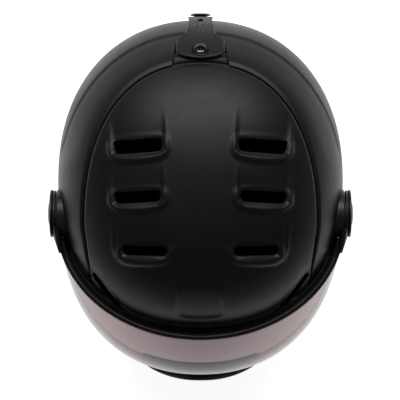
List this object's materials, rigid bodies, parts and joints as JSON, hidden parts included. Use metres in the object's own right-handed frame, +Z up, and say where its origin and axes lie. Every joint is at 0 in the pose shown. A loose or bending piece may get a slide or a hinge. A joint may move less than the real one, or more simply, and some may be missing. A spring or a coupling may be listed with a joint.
{
  "type": "ski helmet",
  "caption": "Matte black ski helmet with a tilting smoked visor, crown vents, goggle retainer, fit dial, padded liner and magnetic chin buckle.",
  "frame": {"origin": "centre of the bounding box in plan, at the flat foot of the ear pads", "axes": "+Z up through the crown, -Y towards the visor, +X to the wearer's left as the helmet faces -Y"},
  "size_m": [0.2496, 0.3042, 0.2219],
  "materials": {
    "shell": "soft-touch matte black",
    "shell_trim": "satin black",
    "foam": "moulded expanded polystyrene, dark grey",
    "rubber": "matte black elastomer",
    "dark_metal": "black chrome",
    "snap_metal": "plated steel",
    "black_plastic": "moulded black nylon",
    "lens": "glossy rose-brown tinted polycarbonate",
    "brass": "turned",
    "nylon": "natural nylon",
    "lining": "black brushed knit over foam",
    "webbing": "black polyester webbing",
    "magnet": "nickel plated"
  },
  "bodies": {
    "helmet": {"upper_shell": "shell", "lower_shell": "shell", "retainer_base": "shell_trim", "eps_liner": "foam", "vent_filters": "foam", "rim_trim": "rubber", "brow_gasket": "rubber", "retainer_strap_root": "rubber", "strap_keeper": "rubber", "retainer_screw": "dark_metal", "retainer_ring": "dark_metal", "pivot_screw_left": "dark_metal", "pivot_screw_right": "dark_metal", "strap_anchors": "dark_metal", "snap_stud": "snap_metal", "pivot_base_left": "black_plastic", "pivot_base_right": "black_plastic", "fit_housing": "black_plastic", "fit_cover": "black_plastic", "fit_hanger": "black_plastic", "fit_guide_left": "black_plastic", "fit_guide_right": "black_plastic", "ear_clips": "black_plastic", "strap_divider_left": "black_plastic", "strap_divider_right": "black_plastic", "buckle_base": "black_plastic", "pivot_insert_left": "brass", "pivot_insert_right": "brass", "pivot_washer_left": "nylon", "pivot_washer_right": "nylon", "brow_pad": "lining", "crown_pad": "lining", "side_pad_left": "lining", "side_pad_right": "lining", "nape_pad": "lining", "ear_pad_left": "lining", "ear_pad_right": "lining", "chin_pad": "lining", "strap_left": "webbing", "strap_right": "webbing", "buckle_magnet_base": "magnet"},
    "visor": {"visor_lens": "lens", "visor_frame": "black_plastic", "visor_brow_seal": "rubber", "visor_nose_guard": "rubber", "pivot_cap_left": "black_plastic", "pivot_cap_right": "black_plastic"},
    "retainer": {"retainer_strap": "rubber", "snap_cap": "black_plastic"},
    "dial": {"fit_dial": "black_plastic", "fit_pinion": "nylon"},
    "band_left": {"fit_band_left": "black_plastic"},
    "band_right": {"fit_band_right": "black_plastic"},
    "buckle": {"buckle_slider": "black_plastic", "buckle_magnet_slider": "magnet"}
  },
  "joints": [
    {"name": "visor_tilt", "type": "hinge", "parent": "helmet", "child": "visor", "pos_m": [0, -0.013, 0.13], "axis": [-1, 0, 0], "range_deg": [0, 50]},
    {"name": "retainer_flip", "type": "hinge", "parent": "helmet", "child": "retainer", "pos_m": [0, 0.1295, 0.175], "axis": [1, 0, 0], "range_deg": [0, 55], "stiffness_Nm_per_rad": 0.02},
    {"name": "fit_dial_turn", "type": "hinge", "parent": "helmet", "child": "dial", "pos_m": [0, 0.11, 0.036], "axis": [0, 0.8829, -0.4695], "range_deg": [0, 96]},
    {"name": "fit_band_right_slide", "type": "hinge", "parent": "helmet", "child": "band_right", "pos_m": [0, 0.04643, 0.0698], "axis": [0, 0.4695, 0.8829], "range_deg": [0, 8]},
    {"name": "fit_band_left_slide", "type": "hinge", "parent": "helmet", "child": "band_left", "pos_m": [0, 0.04643, 0.0698], "axis": [0, 0.4695, 0.8829], "range_deg": [-8, 0]},
    {"name": "buckle_release", "type": "slide", "parent": "helmet", "child": "buckle", "axis": [0, -1, 0], "range_m": [0, 0.02], "deforming": ["strap_right"]}
  ],
  "couplings": [
    {"joint": "fit_band_right_slide", "follows": "fit_dial_turn", "ratio": 0.083333},
    {"joint": "fit_band_left_slide", "follows": "fit_dial_turn", "ratio": -0.083333}
  ]
}
